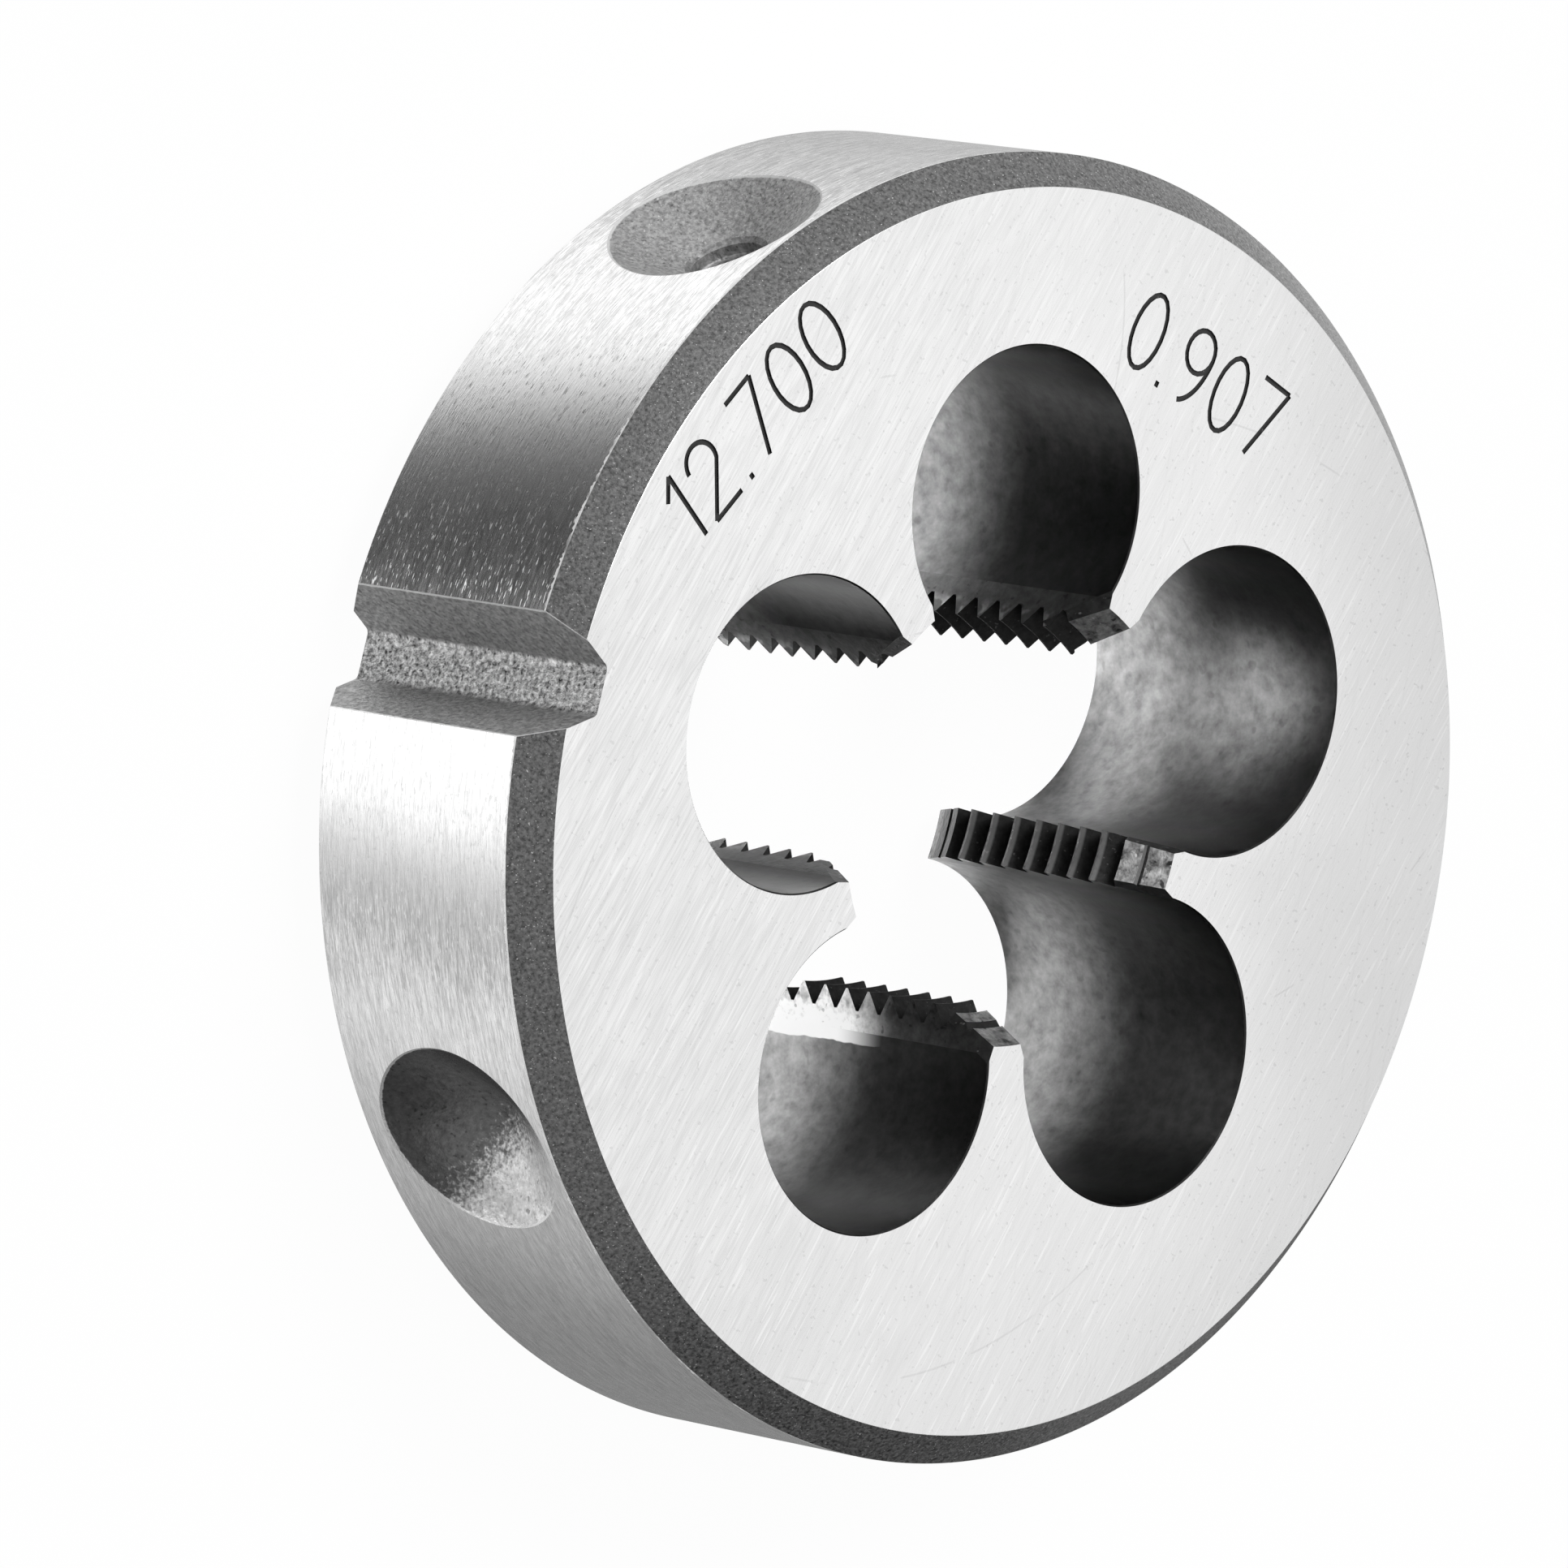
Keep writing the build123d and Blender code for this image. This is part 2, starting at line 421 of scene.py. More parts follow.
def cut_thread_tree():
    """Cuts a V-shaped channel, wound about Z as a right-hand thread, out of a piece."""
    tree, given, output = geometry_tree(
        "cut thread",
        {
            "Pitch": "Float",
            "Turns": "Float",
            "Start Height": "Float",
            "Inner Radius": "Float",
            "Root Radius": "Float",
            "Inner Width": "Float",
            "Root Flat": "Float",
            "Steps": "Int",
            "Finish": "Material",
        },
    )
    values = {
        "Resolution": given["Steps"],
        "Rotations": given["Turns"],
        "Start Radius": given["Inner Radius"],
        "End Radius": given["Inner Radius"],
        "Height": maths(tree, "MULTIPLY", given["Pitch"], given["Turns"]),
        "Reverse": True,
    }
    winding = add_node(tree, "GeometryNodeCurveSpiral", values)
    depth = maths(tree, "SUBTRACT", given["Root Radius"], given["Inner Radius"])
    half_inner = maths(tree, "DIVIDE", given["Inner Width"], 2.0)
    half_root = maths(tree, "DIVIDE", given["Root Flat"], 2.0)
    corners = [
        (0.0, maths(tree, "MULTIPLY", half_inner, -1.0)),
        (depth, maths(tree, "MULTIPLY", half_root, -1.0)),
        (depth, half_root),
        (0.0, half_inner),
    ]
    channel = swept(tree, winding.outputs[0], corners)
    values = {"Geometry": channel, "Translation": vector_of(tree, Z=given["Start Height"])}
    placed = add_node(tree, "GeometryNodeTransform", values)
    end_in_cut(tree, given, placed.outputs[0], output)
    return tree


def cut_lines_tree():
    """Engraves the lines of a flat curve into the face that it lies on."""
    tree, given, output = geometry_tree(
        "engrave lines",
        {"Lines": "Object", "Width": "Float", "Depth": "Float", "Finish": "Material"},
    )
    lines = add_node(tree, "GeometryNodeObjectInfo", {"Object": given["Lines"]})
    half = maths(tree, "DIVIDE", given["Width"], 2.0)
    floor = maths(tree, "MULTIPLY", half, MARK_FLOOR_SHARE)
    bottom = maths(tree, "MULTIPLY", given["Depth"], -1.0)
    corners = [
        (maths(tree, "MULTIPLY", half, -1.0), given["Depth"]),
        (maths(tree, "MULTIPLY", floor, -1.0), bottom),
        (floor, bottom),
        (half, given["Depth"]),
    ]
    end_in_cut(tree, given, swept(tree, lines.outputs["Geometry"], corners), output)
    return tree


def to_metres_tree():
    """Brings a piece from millimetres to metres and ends the machining."""
    tree, given, output = geometry_tree(
        "millimetres to metres", {"Scale": "Float", "Finish": "Material"}
    )
    scale = vector_of(tree, X=given["Scale"], Y=given["Scale"], Z=given["Scale"])
    values = {"Geometry": given["Geometry"], "Scale": scale}
    resized = add_node(tree, "GeometryNodeTransform", values)
    whole = add_node(tree, "GeometryNodeRealizeInstances", {"Geometry": resized.outputs[0]})
    values = {"Geometry": whole.outputs[0], "Selection": False, "Material": given["Finish"]}
    painted = add_node(tree, "GeometryNodeSetMaterial", values)
    tree.links.new(painted.outputs[0], output[0])
    return tree


def add_step(part, tree, values):
    """Adds a tree to a part as its next machining step, with its inputs set by name."""
    step = part.modifiers.new(tree.name, "NODES")
    step.node_group = tree
    for item in tree.interface.items_tree:
        if item.item_type == "SOCKET" and item.in_out == "INPUT" and item.name in values:
            step[item.identifier] = values[item.name]


# Finishes: shared effects


def shader_group(name, inputs, outputs):
    """Shader node group that gives numbers."""
    return node_group(name, "ShaderNodeTree", inputs, dict.fromkeys(outputs, "Float"))


def step_between(tree, value, low, high, start=0.0, end=1.0):
    """Smooth step from start to end while the value goes from low to high."""
    values = {"Value": value, "From Min": low, "From Max": high, "To Min": start, "To Max": end}
    kind = "ShaderNodeMapRange"
    return add_node(tree, kind, values, interpolation_type="SMOOTHSTEP").outputs[0]


def blend(tree, factor, first, second):
    return add_node(tree, "ShaderNodeMix", {"Factor": factor, "A": first, "B": second}).outputs[0]


def touched(tree, tone, mask, share, other):
    """Tone that goes a share of the way to another one where the mask is 1."""
    return blend(tree, maths(tree, "MULTIPLY", mask, share), tone, other)


def noise(tree, vector, scale, detail=2.0, roughness=0.5):
    values = {"Vector": vector, "Scale": scale, "Detail": detail, "Roughness": roughness}
    return add_node(tree, "ShaderNodeTexNoise", values).outputs["Fac"]


def stretched(tree, vector, turn, scale):
    """Coordinates turned about Z and scaled, for a pattern that runs along one direction."""
    values = {"Vector": vector, "Angle": math.radians(turn)}
    turned = add_node(tree, "ShaderNodeVectorRotate", values, rotation_type="Z_AXIS")
    return vector_maths(tree, "MULTIPLY", turned.outputs[0], scale)


def from_axis(tree, place, foot=(0.0, 0.0, 0.0)):
    """Distance from an upright line through a foot."""
    return vector_maths(tree, "DISTANCE", vector_maths(tree, "MULTIPLY", place, LEVEL), foot)


def facing(tree):
    return tree.nodes.new("ShaderNodeTexCoord").outputs["Normal"]


def turned_to(tree, direction):
    """How squarely the surface looks in a direction: 1 is straight at it."""
    return vector_maths(tree, "DOT_PRODUCT", facing(tree), direction)


def grinding_lines_group():
    """Lines left by a grinding wheel, from coordinates that are stretched along them."""
    group, given, output = shader_group(
        "grinding lines", {"Vector": "Vector"}, ["Lines", "Scratches"]
    )
    coarse = noise(group, given["Vector"], 1.0, detail=3.0, roughness=0.6)
    fine = noise(group, given["Vector"], 3.2, roughness=0.7)
    both = maths(group, "MULTIPLY_ADD", fine, 0.6, maths(group, "MULTIPLY", coarse, 0.4))
    lines = step_between(group, both, 0.32, 0.68)
    sparse = noise(group, given["Vector"], 2.3, detail=1.0, roughness=0.4)
    group.links.new(lines, output["Lines"])
    group.links.new(step_between(group, sparse, 0.62, 0.72), output["Scratches"])
    return group


def grain_group():
    """Blasted grain with light and dark specks. Size is millimetres."""
    group, given, output = shader_group(
        "blasted grain",
        {"Vector": "Vector", "Size": "Float"},
        ["Grain", "Light Specks", "Dark Specks"],
    )
    scale = maths(group, "DIVIDE", 1.0, given["Size"])
    grain = noise(group, given["Vector"], scale, detail=3.0, roughness=0.65)
    light = noise(group, given["Vector"], maths(group, "MULTIPLY", scale, 1.7), detail=1.0)
    dark = noise(group, given["Vector"], maths(group, "MULTIPLY", scale, 1.1), detail=1.0)
    group.links.new(grain, output["Grain"])
    group.links.new(step_between(group, light, 0.68, 0.78), output["Light Specks"])
    group.links.new(step_between(group, dark, 0.34, 0.26), output["Dark Specks"])
    return group


def worn_edge_group():
    """Bright line where a cut breaks out through the blank's skin. Width is millimetres."""
    group, given, output = shader_group(
        "worn edge", {"Vector": "Vector", "Width": "Float"}, ["Edge"]
    )
    height = parts_of(group, given["Vector"])["Z"]
    radius = from_axis(group, given["Vector"])
    to_rim = maths(group, "SUBTRACT", OUTER_RADIUS, radius)
    cone_sum = OUTER_RADIUS + THICKNESS - FRONT_CHAMFER
    below = maths(group, "SUBTRACT", cone_sum, maths(group, "ADD", radius, height))
    to_chamfer = maths(group, "MULTIPLY", below, math.sqrt(0.5))
    depth = maths(group, "MINIMUM", to_rim, to_chamfer)
    ragged = noise(group, given["Vector"], 5.0, roughness=0.7)
    reach = maths(group, "MULTIPLY", given["Width"], maths(group, "ADD", ragged, 0.5))
    edge = step_between(group, maths(group, "DIVIDE", depth, reach), 1.1, 0.7)
    group.links.new(edge, output["Edge"])
    return group


def arc_scratch_group():
    """One thin scratch that follows an arc."""
    group, given, output = shader_group(
        "arc scratch", {"Vector": "Vector", "Centre": "Vector", "Radius": "Float"}, ["Scratch"]
    )
    apart = vector_maths(group, "DISTANCE", given["Vector"], given["Centre"])
    off = maths(group, "ABSOLUTE", maths(group, "SUBTRACT", apart, given["Radius"]))
    line = step_between(group, off, 0.045, 0.015)
    broken = step_between(group, noise(group, given["Vector"], 0.45, detail=1.0), 0.5, 0.56)
    group.links.new(maths(group, "MULTIPLY", line, broken), output["Scratch"])
    return group


grinding_lines = grinding_lines_group()
blasted_grain = grain_group()
worn_edge = worn_edge_group()
arc_scratch = arc_scratch_group()


def apply(tree, group, **values):
    """Places a shared effect in a material, with its inputs by name."""
    return add_node(tree, "ShaderNodeGroup", values, node_tree=group).outputs


def new_finish(name, roughness=0.4, metallic=1.0):
    """Material with its tree, its shader's inputs and the place on the die in millimetres."""
    material = bpy.data.materials.new(name)
    material.use_nodes = True
    tree = material.node_tree
    inputs = tree.nodes["Principled BSDF"].inputs
    inputs["Roughness"].default_value = roughness
    inputs["Metallic"].default_value = metallic
    metres = tree.nodes.new("ShaderNodeTexCoord").outputs["Object"]
    return material, tree, inputs, scaled(tree, metres, 1 / MM)


def bump(tree, height, distance):
    values = {"Height": height, "Distance": distance * MM, "Strength": 1.0}
    return add_node(tree, "ShaderNodeBump", values).outputs[0]


# Finishes: one function for each


def ground_face_finish():
    """Surface-ground steel: straight fine lines, a few scratches and pits."""
    material, tree, inputs, place = new_finish("ground face")
    along = stretched(tree, place, -GRINDING_ANGLE, FACE_LINES)
    main = apply(tree, grinding_lines, Vector=along)
    across = stretched(tree, place, -GRINDING_ANGLE - CROSSING_TURN, CROSSING_LINES)
    crossing = apply(tree, grinding_lines, Vector=across)
    strong = step_between(tree, parts_of(tree, place)["X"], 4.0, -15.0, 0.05, 0.17)
    lines = maths(tree, "MULTIPLY", maths(tree, "SUBTRACT", main["Lines"], 0.5), strong)
    cloudy = noise(tree, place, 0.12, detail=3.0, roughness=0.6)
    tone = maths(tree, "MULTIPLY_ADD", cloudy, 0.12, maths(tree, "ADD", lines, 0.765))
    # Painted shade: the face darkens a little towards one side
    shaded_side = vector_maths(tree, "DOT_PRODUCT", place, SHADED_FACE_SIDE)
    tone = maths(tree, "MULTIPLY_ADD", maths(tree, "MAXIMUM", shaded_side, 0.0), -0.004, tone)
    tone = touched(tree, tone, main["Scratches"], 0.5, 0.95)
    tone = touched(tree, tone, crossing["Scratches"], 0.1, 0.6)
    for centre, radius in FACE_ARCS:
        scratch = apply(tree, arc_scratch, Vector=place, Centre=(*centre, THICKNESS), Radius=radius)
        tone = touched(tree, tone, scratch["Scratch"], 0.3, 0.5)
    grain = apply(tree, blasted_grain, Vector=place, Size=0.16)
    tone = touched(tree, tone, grain["Dark Specks"], 0.25, 0.4)
    tree.links.new(tone, inputs["Base Color"])
    rough = maths(tree, "MULTIPLY_ADD", main["Lines"], -0.05, 0.27)
    tree.links.new(rough, inputs["Roughness"])
    tree.links.new(bump(tree, main["Lines"], 0.001), inputs["Normal"])
    return material


def ground_rim_finish():
    """Rim ground round and round: short bright streaks along it, and a broken burr at the front."""
    material, tree, inputs, place = new_finish("ground rim")
    along = vector_maths(tree, "MULTIPLY", place, RIM_STREAKS)
    streaks = apply(tree, grinding_lines, Vector=along)["Lines"]
    short = vector_maths(tree, "MULTIPLY", place, RIM_SCRATCHES)
    scratches = apply(tree, grinding_lines, Vector=short)["Scratches"]
    tone = touched(tree, maths(tree, "MULTIPLY_ADD", streaks, 0.42, 0.56), scratches, 0.6, 0.98)
    grain = apply(tree, blasted_grain, Vector=place, Size=0.2)
    tone = touched(tree, tone, grain["Dark Specks"], 0.2, 0.3)
    ragged = noise(tree, place, 5.5, roughness=0.7)
    edge = THICKNESS - FRONT_CHAMFER
    reach = maths(tree, "MULTIPLY_ADD", ragged, -0.3, edge + 0.07)
    at_edge = maths(tree, "GREATER_THAN", parts_of(tree, place)["Z"], reach)
    broken = step_between(tree, noise(tree, place, 1.6, roughness=0.6), 0.36, 0.6, 0.2, 1.0)
    burr = maths(tree, "MULTIPLY", at_edge, broken)
    tree.links.new(blend(tree, burr, tone, 0.9), inputs["Base Color"])
    rough = maths(tree, "MULTIPLY_ADD", scratches, 0.08, 0.22)
    tree.links.new(blend(tree, burr, rough, 0.7), inputs["Roughness"])
    round_axis = vector_maths(tree, "CROSS_PRODUCT", UPWARDS, place)
    tree.links.new(round_axis, inputs["Tangent"])
    inputs["Anisotropic"].default_value = 0.6
    tilt = maths(tree, "MULTIPLY_ADD", streaks, STREAK_TILT, -STREAK_TILT / 2)
    tilt = maths(tree, "MULTIPLY_ADD", scratches, SCRATCH_TILT, tilt)
    lean = scaled(tree, round_axis, maths(tree, "DIVIDE", tilt, OUTER_RADIUS))
    leaning = vector_maths(tree, "ADD", bump(tree, streaks, 0.0028), lean)
    tree.links.new(vector_maths(tree, "NORMALIZE", leaning), inputs["Normal"])
    return material


def oxide_finish(
    name, base, size, light=0.0, dark=0.0, roughness=0.5, metallic=1.0, relief=0.0, contrast=1.5
):
    """Dark scale left by hardening: grain and specks, bright where the skin is broken.

    The grain has a size and a relief in millimetres. Light and dark are how far the specks show.
    """
    material, tree, inputs, place = new_finish(name, roughness, metallic)
    grain = apply(tree, blasted_grain, Vector=place, Size=size)
    spread = maths(tree, "MULTIPLY_ADD", grain["Grain"], contrast, 1 - contrast / 2)
    tone = maths(tree, "MULTIPLY", spread, base)
    tone = touched(tree, tone, grain["Light Specks"], light, 0.7)
    tone = touched(tree, tone, grain["Dark Specks"], dark, 0.02)
    if relief:
        tree.links.new(bump(tree, grain["Grain"], relief), inputs["Normal"])
    return material, tree, inputs, place, tone


def plain_oxide(name, **look):
    """Scale that is the same wherever it lies."""
    material, tree, inputs, _, tone = oxide_finish(name, **look)
    tree.links.new(tone, inputs["Base Color"])
    return material


def groove_finish():
    """Coarse grain on the floor, plainer walls, and bright edges where the groove leaves the rim."""
    material, tree, inputs, place, tone = oxide_finish(
        "groove oxide", base=0.44, size=0.16, light=0.8, dark=0.8, relief=0.04, contrast=4.4
    )
    on_walls = step_between(tree, turned_to(tree, GROOVE_FLOOR), 0.7, 0.85, 0.5, 0.0)
    tone = blend(tree, on_walls, tone, 0.4)
    edge = apply(tree, worn_edge, Vector=place, Width=0.09)["Edge"]
    tree.links.new(blend(tree, edge, tone, 0.95), inputs["Base Color"])
    return material


def upper_dimple_finish():
    """Blasted and dull all over."""
    material, tree, inputs, place, tone = oxide_finish(
        "dull dimple", base=0.31, size=0.13, light=0.8, dark=0.6,
        roughness=0.55, metallic=0.7, relief=0.025, contrast=2.4,
    )
    edge = apply(tree, worn_edge, Vector=place, Width=0.05)["Edge"]
    tree.links.new(blend(tree, edge, tone, 0.6), inputs["Base Color"])
    return material


def lower_dimple_finish():
    """Painted light on one side and painted shade on the other, with a patchy grain where they meet."""
    material, tree, inputs, place, tone = oxide_finish(
        "bright dimple", base=0.62, size=0.2, light=0.5, dark=0.5, roughness=0.27, relief=0.014
    )
    # Painted light and shade: lighter where the wall faces one way, darker where it faces away
    patchy = maths(tree, "MULTIPLY_ADD", noise(tree, place, 7.0, roughness=0.6), 0.5, -0.25)
    to_lit_side = maths(tree, "ADD", turned_to(tree, LIT_DIMPLE_SIDE), patchy)
    painted_shading = step_between(tree, to_lit_side, 0.0, 0.26, 0.2, 1.2)
    tone = maths(tree, "MINIMUM", maths(tree, "MULTIPLY", tone, painted_shading), 0.95)
    edge = apply(tree, worn_edge, Vector=place, Width=0.05)["Edge"]
    tree.links.new(blend(tree, edge, tone, 0.8), inputs["Base Color"])
    outwards = vector_maths(tree, "MULTIPLY", place, LEVEL)
    turned = vector_maths(tree, "CROSS_PRODUCT", facing(tree), outwards)
    tree.links.new(turned, inputs["Tangent"])
    inputs["Anisotropic"].default_value = 0.4
    return material


def hole_shade_by_height(tree, height):
    """Painted shade inside the holes: lighter near the back face, darker towards the front."""
    return step_between(tree, height, 0.0, 5.8, 0.5, 0.025)


def chip_hole_finish():
    """Scale with painted shade that deepens upwards, a painted highlight patch, and a painted reflection
    strip.
    """
    material, tree, inputs, place, tone = oxide_finish(
        "chip hole oxide", base=1.0, size=0.5, dark=0.2, roughness=0.3, relief=0.006
    )
    height = parts_of(tree, place)["Z"]
    cloudy = noise(tree, place, 0.4, detail=3.0, roughness=0.6)
    cloudy = step_between(tree, cloudy, 0.3, 0.7, 0.9, 1.1)
    # A painted highlight: a lighter patch on one chip hole's wall
    from_highlight_patch = vector_maths(tree, "DISTANCE", place, HIGHLIGHT_PATCH)
    painted_highlight = step_between(tree, from_highlight_patch, 0.6, 3.6, 0.15, 0.0)
    # Painted shade that deepens towards the front face, plus the painted highlight
    painted_shading = maths(tree, "ADD", hole_shade_by_height(tree, height), painted_highlight)
    tone = maths(tree, "MULTIPLY", maths(tree, "MULTIPLY", tone, cloudy), painted_shading)
    # A painted reflection: a bright strip on the wall beside one rake face, fading towards the front
    width = maths(tree, "MULTIPLY_ADD", noise(tree, place, 1.2, roughness=0.6), 0.2, 0.38)
    width = maths(tree, "MULTIPLY_ADD", height, -0.02, width)
    beyond = maths(tree, "DIVIDE", from_axis(tree, place, REFLECTION_FOOT), width)
    strip = step_between(tree, beyond, 1.08, 0.95)
    bright = step_between(tree, height, 3.6, 5.8, 0.95, 0.0)
    tone = maths(tree, "MAXIMUM", tone, maths(tree, "MULTIPLY", bright, strip))
    tree.links.new(tone, inputs["Base Color"])
    return material


def rake_finish():
    """Scale with painted shade that deepens upwards, painted glints at the tooth tips, and a painted
    reflection on one rake face.
    """
    material, tree, inputs, place, tone = oxide_finish(
        "rake face", base=1.0, size=0.3, dark=0.5, roughness=0.3, relief=0.01
    )
    height = parts_of(tree, place)["Z"]
    radius = from_axis(tree, place)
    # Painted glints near the tooth tips, over painted shade that deepens towards the front
    glint_blobs = step_between(tree, noise(tree, place, 1.7), 0.5, 0.62, 0.8, 2.4)
    tip_glints = maths(tree, "MULTIPLY", step_between(tree, height, 0.5, 6.0, 0.5, 0.07), glint_blobs)
    # The dull tone: painted shade that deepens towards the front, on the flat and on the wall beside it
    flat = step_between(tree, height, 0.0, 6.5, 0.3, 0.055)
    dull = blend(tree, step_between(tree, radius, 7.3, 6.9), hole_shade_by_height(tree, height), flat)
    dull = blend(tree, step_between(tree, radius, 6.5, 6.0), dull, tip_glints)
    # A painted reflection on one rake face, fading towards the front and broken into specks near the
    # tips
    ground = step_between(tree, height, 3.4, 6.2, 1.1, 0.05)
    speckled = step_between(tree, noise(tree, place, 3.0, roughness=0.6), 0.35, 0.6, 0.45, 0.8)
    reflection_at_tips = maths(tree, "MULTIPLY", ground, speckled)
    bright = blend(tree, step_between(tree, radius, 6.7, 6.2), ground, reflection_at_tips)
    on_reflecting_rake = step_between(tree, turned_to(tree, REFLECTING_RAKE), 0.88, 0.96)
    painted_shading = blend(tree, on_reflecting_rake, dull, bright)
    tone = maths(tree, "MINIMUM", maths(tree, "MULTIPLY", tone, painted_shading), 0.95)
    tree.links.new(tone, inputs["Base Color"])
    return material


def lead_in_finish():
    """Coarse scale in front, darker behind, and darkest at the very edge of the back face."""
    material, tree, inputs, place, tone = oxide_finish(
        "lead-in cone", base=0.34, size=0.3, light=0.9, dark=0.9,
        roughness=0.4, metallic=0.8, relief=0.04, contrast=4.0,
    )
    height = parts_of(tree, place)["Z"]
    back = step_between(tree, height, 0.42, 0.5, 0.4, 0.06)
    worn = blend(tree, step_between(tree, height, 3.0, 4.0), back, 1.0)
    tree.links.new(maths(tree, "MULTIPLY", tone, worn), inputs["Base Color"])
    return material


def crest_finish():
    """Painted light on the land that faces the light, which is also more metallic and smoother, and
    painted shade on the others.
    """
    material, tree, inputs, place, tone = oxide_finish(
        "tooth crests", base=0.13, size=0.2, light=0.3, dark=0.5,
        roughness=0.4, metallic=0.8, relief=0.01,
    )
    # Painted light and shade: full tone on the land at +X, dark on the other lands
    painted_highlight = step_between(tree, parts_of(tree, place)["X"], 2.5, 5.0, 0.1, 1.0)
    tree.links.new(maths(tree, "MULTIPLY", tone, painted_highlight), inputs["Base Color"])
    tree.links.new(maths(tree, "MULTIPLY", painted_highlight, 0.8), inputs["Metallic"])
    tree.links.new(maths(tree, "MULTIPLY_ADD", painted_highlight, -0.6, 1.0), inputs["Roughness"])
    return material


def thread_finish():
    """Dark flanks, with painted highlights beside the crests of one land and where they run out into the
    lead-in.
    """
    material, tree, inputs, place, tone = oxide_finish(
        "thread flanks", base=0.018, size=0.2, light=0.05, dark=0.3, relief=0.01
    )
    parts = parts_of(tree, place)
    # Painted highlights along the crests and run-outs of the land that faces the light
    lit_land = step_between(tree, parts["X"], 4.0, 5.0)
    low, high = CREST_RADIUS + 0.08, CREST_RADIUS + 0.16
    crest = step_between(tree, from_axis(tree, place), high, low, 0.0, 0.06)
    run_out = step_between(tree, parts["Z"], 8.85, 8.95, 0.0, 0.07)
    run_out = maths(tree, "ADD", run_out, step_between(tree, parts["Z"], 0.45, 0.4, 0.0, 0.07))
    painted_highlight = maths(tree, "MULTIPLY", maths(tree, "ADD", crest, run_out), lit_land)
    tree.links.new(maths(tree, "ADD", tone, painted_highlight), inputs["Base Color"])
    return material


chamfer_oxide = plain_oxide(
    "chamfer oxide", base=0.1, size=0.11, light=0.8, dark=0.8,
    roughness=0.38, metallic=0.0, relief=0.016, contrast=4.5,
)
drill_mark_oxide = plain_oxide(
    "drill mark", base=0.24, size=0.2, light=0.4, dark=0.6, metallic=0.6, relief=0.03, contrast=3.0
)
gash_oxide = plain_oxide("gash", base=0.06, size=0.3, light=0.3, dark=0.6, relief=0.02)
etched_mark = plain_oxide(
    "etched mark", base=0.012, size=0.2, light=0.1, dark=0.3, roughness=0.7, metallic=0.0
)


# The die's body


def cone_depth(mouth_radius, lead_angle, radius):
    return (mouth_radius - radius) / math.tan(math.radians(lead_angle / 2))


# The blank's finishes by their indices, and how near a place counts as on an edge of the section
FACE, RIM, CHAMFER, LEAD_IN, CREST = range(5)
BLANK_FINISHES = [
    ground_face_finish(), ground_rim_finish(), chamfer_oxide, lead_in_finish(), crest_finish()
]
NEAR = 0.01


def blank_paint(radius, height):
    """Index of the blank's finish at a place on its section."""
    if radius < CREST_RADIUS + NEAR:
        return CREST
    if radius < BACK_MOUTH_RADIUS - NEAR:
        return LEAD_IN
    if min(height, THICKNESS - height) < NEAR:
        return FACE
    if BACK_CHAMFER < height < THICKNESS - FRONT_CHAMFER:
        return RIM
    return CHAMFER


def blank_mesh():
    """The turned blank: rim, chamfers, faces and the bore with its two lead-in cones."""
    front_depth = cone_depth(FRONT_MOUTH_RADIUS, FRONT_LEAD_ANGLE, CREST_RADIUS)
    back_depth = cone_depth(BACK_MOUTH_RADIUS, BACK_LEAD_ANGLE, CREST_RADIUS)
    section = rounded(
        [
            (BACK_MOUTH_RADIUS, 0),
            (OUTER_RADIUS - BACK_CHAMFER, 0, EDGE_BREAK),
            (OUTER_RADIUS, BACK_CHAMFER, EDGE_BREAK),
            (OUTER_RADIUS, THICKNESS - FRONT_CHAMFER, EDGE_BREAK),
            (OUTER_RADIUS - FRONT_CHAMFER, THICKNESS, EDGE_BREAK),
            (FRONT_MOUTH_RADIUS, THICKNESS),
            (CREST_RADIUS, THICKNESS - front_depth),
            (CREST_RADIUS, back_depth),
        ]
    )
    return spun(section, BLANK_STEPS, "blank", blank_paint)


def turned_to_rim(mesh, height):
    """Turns a cutter that was spun about Z so that it points outwards along X, at a height."""
    mesh.transform(Matrix.Translation((0, 0, height)) @ Matrix.Rotation(math.pi / 2, 4, "Y"))
    return mesh


def chip_hole_cutter():
    flare = CHIP_HOLE_RADIUS + EDGE_BREAK + OVERRUN
    outline = [
        (0, -OVERRUN),
        (flare, -OVERRUN),
        (CHIP_HOLE_RADIUS, EDGE_BREAK),
        (CHIP_HOLE_RADIUS, THICKNESS - EDGE_BREAK),
        (flare, THICKNESS + OVERRUN),
        (0, THICKNESS + OVERRUN),
    ]
    mesh = spun(outline, HOLE_STEPS, "chip hole cutter")
    mesh.transform(Matrix.Translation((CHIP_CIRCLE_RADIUS, 0, 0)))
    return mesh


# Where a rake flat ends on its chip hole's wall
land_neck = CHIP_CIRCLE_RADIUS * math.cos(half_step)
flat_end = Vector(
    (
        land_neck * math.cos(half_step) + LAND_WIDTH / 2 * math.sin(half_step),
        land_neck * math.sin(half_step) - LAND_WIDTH / 2 * math.cos(half_step),
    )
)


def rake_cutter():
    start = LAND_WIDTH / 2 / math.sin(half_step)
    outline = [(start, 0), (flat_end.x, -flat_end.y), (flat_end.x, flat_end.y)]
    return prism(outline, outline, -OVERRUN, THICKNESS + OVERRUN, "rake cutter")


